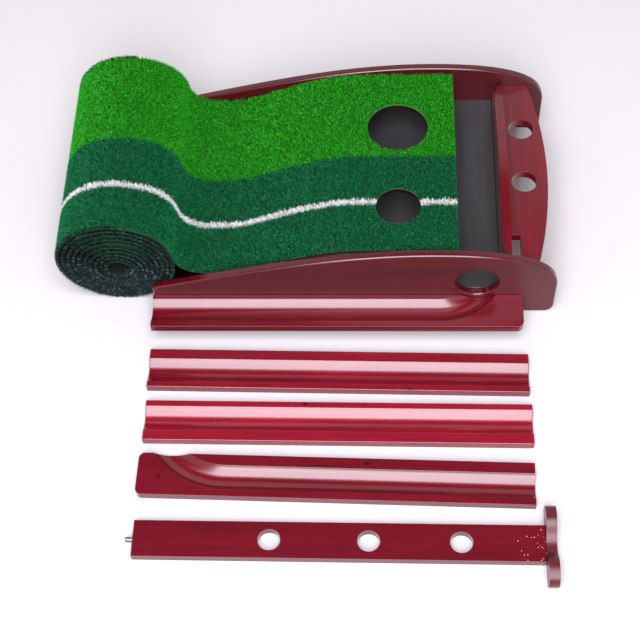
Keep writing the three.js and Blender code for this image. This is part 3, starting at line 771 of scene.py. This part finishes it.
class PUTTINGMAT_OT_tracks(bpy.types.Operator):
    """Round and lacquer the sections of the ball return track"""
    bl_idname = "puttingmat.tracks"
    bl_label = "Return track"

    def execute(self, context):
        wood = context.scene.puttingmat_wood
        for node, turn, lighter, knots in (
            ("fixed_track", 0.0, 1.05, (
                ((0.055, -0.003, 0.040), 0.0018),
                ((0.067, -0.003, 0.040), 0.0018))),
            ("track_section_a", -0.8, 1.35, (
                ((0.199, -0.078, 0.012), 0.0013),
                ((0.342, -0.129, 0.012), 0.0022))),
            ("track_section_b", -0.5, 1.65, (
                ((0.2065, -0.1515, 0.012), 0.0030),
                ((0.2836, -0.1525, 0.012), 0.0016))),
            ("track_section_end", -1.4, 1.0, (
                ((0.0244, -0.2559, 0.012), 0.0028),
                ((0.287, -0.2367, 0.012), 0.0036))),
        ):
            finish = lacquered_wood(
                f"lacquer_{node}", wood, turn=math.radians(turn), knots=knots, lighter=lighter)
            finished_board(node, wood.edge_radius, finish)
        return {"FINISHED"}


class PUTTINGMAT_OT_post(bpy.types.Operator):
    """Round and finish the putter post, its head and its pin"""
    bl_idname = "puttingmat.post"
    bl_label = "Putter post"

    def execute(self, context):
        wood = context.scene.puttingmat_wood
        plank = lacquered_wood(
            "lacquer_post", wood, turn=math.radians(-0.4), lighter=0.92, dusty_from=0.468)
        finished_board("post_plank", wood.edge_radius * 0.8, plank)
        head = lacquered_wood("lacquer_post_head", wood, along_y=True, lighter=0.65, dull=0.2)
        finished_board("post_head", wood.edge_radius, head)
        finished_board("post_pin", 0.5 * MM, brushed_pin())
        return {"FINISHED"}


class PUTTINGMAT_OT_turf_sheet(bpy.types.Operator):
    """Wind the backing of the turf into its roll and lay its end over the ramp and the platform"""
    bl_idname = "puttingmat.turf_sheet"
    bl_label = "Turf sheet"

    def execute(self, context):
        turf = context.scene.puttingmat_turf
        course = TurfCourse(turf)
        last = len(course.tips) - 1
        inner = np.arange(0, course.leave - OUTER_STEPS, INNER_ROW)
        outer = np.arange(inner[-1] + OUTER_ROW, last, OUTER_ROW)
        stations = np.concatenate([inner, outer, [last]])
        shares = np.linspace(0, 1, POINTS_ACROSS)
        rows, columns = len(stations), len(shares)
        index = np.repeat(stations, columns)
        across = course.side(index, np.tile(shares, rows))
        top = course.point(index, across, np.full(len(index), turf.pile_height))
        under = course.point(index, across, np.full(len(index), turf.thickness))
        mesh = bpy.data.meshes.new("turf_sheet")
        shape = bmesh.new()
        tops = [shape.verts.new(p) for p in top]
        unders = [shape.verts.new(p) for p in under]

        def face(corners, material):
            shape.faces.new(corners).material_index = material

        for i in range(rows - 1):
            for j in range(columns - 1):
                a, b = i * columns + j, (i + 1) * columns + j
                face((tops[a], tops[b], tops[b + 1], tops[a + 1]), 0)
                face((unders[a], unders[a + 1], unders[b + 1], unders[b]), 1)
            for j, flip in ((0, False), (columns - 1, True)):
                a, b = i * columns + j, (i + 1) * columns + j
                rim = (tops[a], unders[a], unders[b], tops[b])
                face(rim[::-1] if flip else rim, 1)
        for i, flip in ((0, False), (rows - 1, True)):
            for j in range(columns - 1):
                a = i * columns + j
                rim = (tops[a], tops[a + 1], unders[a + 1], unders[a])
                face(rim[::-1] if flip else rim, 1)
        bmesh.ops.recalc_face_normals(shape, faces=shape.faces)
        shape.to_mesh(mesh)
        shape.free()
        piece = bpy.data.objects.new("turf_sheet", mesh)
        context.scene.collection.objects.link(piece)
        mesh.materials.append(turf_ground(turf))
        mesh.materials.append(turf_backing())
        cut_holes(piece, turf)
        only(piece)
        bpy.ops.object.shade_smooth_by_angle(angle=math.radians(35))
        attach(piece, "turf")
        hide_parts("putting_mat")
        return {"FINISHED"}


def scatter(rng, count, course, first, last, edge=None):
    """Places on the pile between two stations: index along the turf and share across it.

    Edge is 0 or 1 for places only along the near or the far edge."""
    index = rng.integers(first, last, count)
    share = rng.random(count)
    if edge is not None:
        share = abs(edge - share * RIM_WIDTH / (course.far - course.near))
    return index, share


def blade_mesh(name, rng, course, index, across, turf, wide, outward=0):
    """Short curled blades standing on the sheet, with a tint and a root-to-tip place in their map.

    Each is a quad from its root to its knee and a triangle from there to its tip. Outward is -1 or 1
    where they lean over the near or the far edge."""
    count = len(index)
    tall = turf.pile_height
    root = course.point(index, across, np.full(count, tall + ROOT_DEPTH))
    up2 = course.up[index]
    up = np.stack([up2[:, 0], np.zeros(count), up2[:, 1]], 1)
    way = np.stack([up2[:, 1], np.zeros(count), -up2[:, 0]], 1)
    side = np.array([0.0, 1.0, 0.0])
    angle = rng.random(count) * 2 * math.pi
    if outward:
        angle = outward * math.pi / 2 + rng.normal(0, 0.7, count)
    lean = way * np.cos(angle)[:, None] + side * np.sin(angle)[:, None]
    cross = -way * np.sin(angle)[:, None] + side * np.cos(angle)[:, None]
    height = tall * (0.72 + 0.36 * rng.random(count))
    reach = tall * (0.08 + 0.42 * rng.random(count))
    curl = (rng.random(count) - 0.5) * 0.5 * tall
    half = wide * (0.75 + 0.5 * rng.random(count)) / 2
    middle = (root + up * (height * KNEE)[:, None] + lean * (reach * 0.35)[:, None]
              + cross * (curl * 0.3)[:, None])
    tip = root + up * height[:, None] + lean * reach[:, None] + cross * curl[:, None]
    twist = cross * np.cos(curl / tall)[:, None] + lean * 0.4 * np.sin(angle * 3)[:, None]
    points = np.stack([
        root - cross * half[:, None], root + cross * half[:, None],
        middle + twist * half[:, None], middle - twist * half[:, None],
        tip,
    ], 1).reshape(-1, 3)
    base = np.arange(count)[:, None] * 5
    corners = np.concatenate([base + [0, 1, 2, 3], base + [3, 2, 4]], 1).reshape(-1)
    mesh = bpy.data.meshes.new(name)
    mesh.vertices.add(len(points))
    mesh.vertices.foreach_set("co", points.astype(np.float32).ravel())
    mesh.loops.add(len(corners))
    mesh.loops.foreach_set("vertex_index", corners.astype(np.int32))
    mesh.polygons.add(2 * count)
    starts = (np.arange(count)[:, None] * 7 + [0, 4]).reshape(-1)
    mesh.polygons.foreach_set("loop_start", starts.astype(np.int32))
    mesh.polygons.foreach_set("use_smooth", np.ones(2 * count, bool))
    tint = (rng.random(count) * 0.96 + 0.01)[:, None]
    u = tint + np.array([0, 0.02, 0.02, 0, 0, 0.02, 0.01])
    v = np.tile([0.01, 0.01, KNEE, KNEE, KNEE, KNEE, 0.99], (count, 1))
    layer = mesh.uv_layers.new(name=PILE_MAP)
    layer.uv.foreach_set("vector", np.stack([u, v], 2).astype(np.float32).ravel())
    mesh.update(calc_edges=True)
    mesh.validate()
    return mesh


class PUTTINGMAT_OT_turf_pile(bpy.types.Operator):
    """Set the pile on the turf: two greens, the aiming line and the fringe along its sides"""
    bl_idname = "puttingmat.turf_pile"
    bl_label = "Turf pile"

    def execute(self, context):
        turf = context.scene.puttingmat_turf
        course = TurfCourse(turf)
        rng = np.random.default_rng(PILE_SEED)
        width = course.far - course.near
        last = len(course.tips) - 1
        one_turn = int(2 * math.pi * ROLL_RADIUS / STEP)
        seen = course.leave - int(PILE_TURNS * one_turn)
        per_m2 = turf.blades_per_cm2 * 1e4
        index, share = scatter(rng, int(per_m2 * width * (last - seen) * STEP), course, seen, last)
        across = course.side(index, share)
        away_x = course.tips[index][:, 0] - HOLE_X
        keep = np.ones(len(index), bool)
        for _, hole, radius in HOLES:
            keep &= np.hypot(away_x, across - CORNER.y - hole) >= radius + 0.5 * MM
        index, across = index[keep], across[keep]
        place = across - CORNER.y + rng.normal(0, 0.8 * MM, len(index))
        line = abs(place - turf.line_place) < turf.line_width / 2
        far = ~line & (place > turf.colour_edge)
        near = ~line & ~far
        # dull holds the edge yarn colour: the pile's green in painted shade, for the roll's sides.
        light, dark, white, dull = (
            tuple(c) for c in (turf.light_green, turf.dark_green, turf.line_white, turf.shaded_rim_yarn))
        rim = int(per_m2 * RIM_CROWDING * RIM_WIDTH * course.leave * STEP)
        near_rim = scatter(rng, rim, course, 0, course.leave, 0)
        far_rim = scatter(rng, rim, course, 0, course.leave, 1)
        for name, index, across, outward, finish in (
            ("pile_light_green", index[far], across[far], 0,
             pile_yarn("pile_light_green", light, 0.8, 0.30, (0.10, 0.40, 0.065))),
            ("pile_dark_green", index[near], across[near], 0,
             pile_yarn("pile_dark_green", dark, 0.8, 0.25, (0.035, 0.22, 0.11))),
            ("pile_line", index[line], across[line], 0,
             pile_yarn("pile_line", white, 0.12, 0.2, (0.75, 0.75, 0.75), 0.1, (0.92, 1.15), 0.05)),
            # The fringe on the roll's sides takes the edge yarn, which is painted shade.
            ("rim_near", near_rim[0], course.side(*near_rim), -1,
             pile_yarn("pile_rim", dull, 0.6, 0.25, (0.065, 0.14, 0.125), 0.14, (0.05, 2.0), 0.9)),
            ("rim_far", far_rim[0], course.side(*far_rim), 1, bpy.data.materials["pile_rim"]),
        ):
            order = np.argsort(index, kind="stable")
            pieces = math.ceil(len(order) / BLADES_A_PIECE)
            for number, part in enumerate(np.array_split(order, pieces)):
                label = f"{name}_{number + 1}" if pieces > 1 else name
                mesh = blade_mesh(
                    label, rng, course, index[part], across[part], turf, BLADE_WIDTH, outward)
                mesh.materials.append(finish)
                piece = bpy.data.objects.new(label, mesh)
                context.scene.collection.objects.link(piece)
                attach(piece, "turf")
        return {"FINISHED"}


# The floor, the heights in degrees between which the fill fades to the crown, and the lamps.
FLOOR_SIZE, FLOOR_GAP = 14, 0.2 * MM
FILL_FADES = (49, 58)
LAMP_COLOUR = (0.98, 0.92, 1.0)
LAMPS = (
    ("key_softbox", "key_power", (1.7, 2.8), 2.62, 32),
    ("halo_softbox", "halo_power", (2.6, 4.2), 3.0, 30),
)


class PUTTINGMAT_OT_stage(bpy.types.Operator):
    """Set the floor, the lights and the camera"""
    bl_idname = "puttingmat.stage"
    bl_label = "Stage"

    def execute(self, context):
        stage = context.scene.puttingmat_stage
        bpy.ops.object.select_all(action="DESELECT")
        bpy.ops.mesh.primitive_plane_add(size=FLOOR_SIZE, location=(0, 0, -FLOOR_GAP))
        floor = context.object
        floor.name = "floor"
        material, tree, shader = new_material("pale_floor")
        shader.inputs["Base Color"].default_value = (*stage.floor_colour, 1)
        shader.inputs["Roughness"].default_value = 0.9
        shader.inputs["Specular IOR Level"].default_value = 0.0
        floor.data.materials.append(material)

        world = bpy.data.worlds.new("studio")
        context.scene.world = world
        world.use_nodes = True
        sky = world.node_tree
        split = sky.nodes.new("ShaderNodeSeparateXYZ")
        upward = sky.nodes.new("ShaderNodeTexCoord").outputs["Generated"]
        sky.links.new(upward, split.inputs["Vector"])
        low, high = (math.sin(math.radians(height)) for height in FILL_FADES)
        strength = ramp(sky, split.outputs["Z"], low, high, stage.fill, stage.crown)
        surround = sky.nodes["Background"]
        surround.inputs["Color"].default_value = (1, 1, 1, 1)
        sky.links.new(strength, surround.inputs["Strength"])

        context.scene.view_settings.view_transform = "Standard"
        for name, power, size, distance, tilt in LAMPS:
            data = bpy.data.lights.new(name, "AREA")
            data.shape = "RECTANGLE"
            data.size, data.size_y = size
            data.energy = getattr(stage, power)
            data.color = LAMP_COLOUR
            lamp = bpy.data.objects.new(name, data)
            context.scene.collection.objects.link(lamp)
            lean = math.radians(tilt)
            lamp.location = (0, -distance * math.sin(lean), distance * math.cos(lean))
            lamp.rotation_euler = (lean, 0, 0)

        data = bpy.data.cameras.new("camera")
        data.sensor_width = 36
        data.lens = stage.lens
        data.clip_end = 50
        camera = bpy.data.objects.new("camera", data)
        context.scene.collection.objects.link(camera)
        ahead = Vector((
            -math.sin(stage.yaw) * math.cos(stage.pitch),
            math.cos(stage.yaw) * math.cos(stage.pitch),
            -math.sin(stage.pitch)))
        level = Vector((math.cos(stage.yaw), math.sin(stage.yaw), 0))
        down = ahead.cross(level)
        right = math.cos(stage.roll) * level - math.sin(stage.roll) * down
        below = math.sin(stage.roll) * level + math.cos(stage.roll) * down
        turn = Matrix((right, -below, -ahead)).transposed()
        place = Matrix.Translation(CORNER + Vector(stage.camera_place))
        camera.matrix_world = place @ turn.to_4x4()
        context.scene.camera = camera
        return {"FINISHED"}


OPERATORS = (
    PUTTINGMAT_OT_end_unit,
    PUTTINGMAT_OT_tracks,
    PUTTINGMAT_OT_post,
    PUTTINGMAT_OT_turf_sheet,
    PUTTINGMAT_OT_turf_pile,
    PUTTINGMAT_OT_stage,
)


class PUTTINGMAT_PT_panel(bpy.types.Panel):
    """Settings and steps of the putting mat"""
    bl_label = "Putting mat"
    bl_idname = "PUTTINGMAT_PT_panel"
    bl_space_type = "VIEW_3D"
    bl_region_type = "UI"
    bl_category = "Putting mat"

    def draw(self, context):
        for attribute, kind in SETTINGS:
            box = self.layout.box()
            for key in kind.__annotations__:
                box.prop(getattr(context.scene, attribute), key)
        for operator in OPERATORS:
            self.layout.operator(operator.bl_idname)


CLASSES = (*(kind for _, kind in SETTINGS), *OPERATORS, PUTTINGMAT_PT_panel)


def register():
    for kind in CLASSES:
        bpy.utils.register_class(kind)
    for attribute, kind in SETTINGS:
        setattr(bpy.types.Scene, attribute, bpy.props.PointerProperty(type=kind))


def unregister():
    for attribute, _ in SETTINGS:
        delattr(bpy.types.Scene, attribute)
    for kind in reversed(CLASSES):
        bpy.utils.unregister_class(kind)


def main():
    register()
    bpy.ops.puttingmat.end_unit()
    bpy.ops.puttingmat.tracks()
    bpy.ops.puttingmat.post()
    bpy.ops.puttingmat.turf_sheet()
    bpy.ops.puttingmat.turf_pile()
    bpy.ops.puttingmat.stage()


if __name__ == "__main__":
    main()
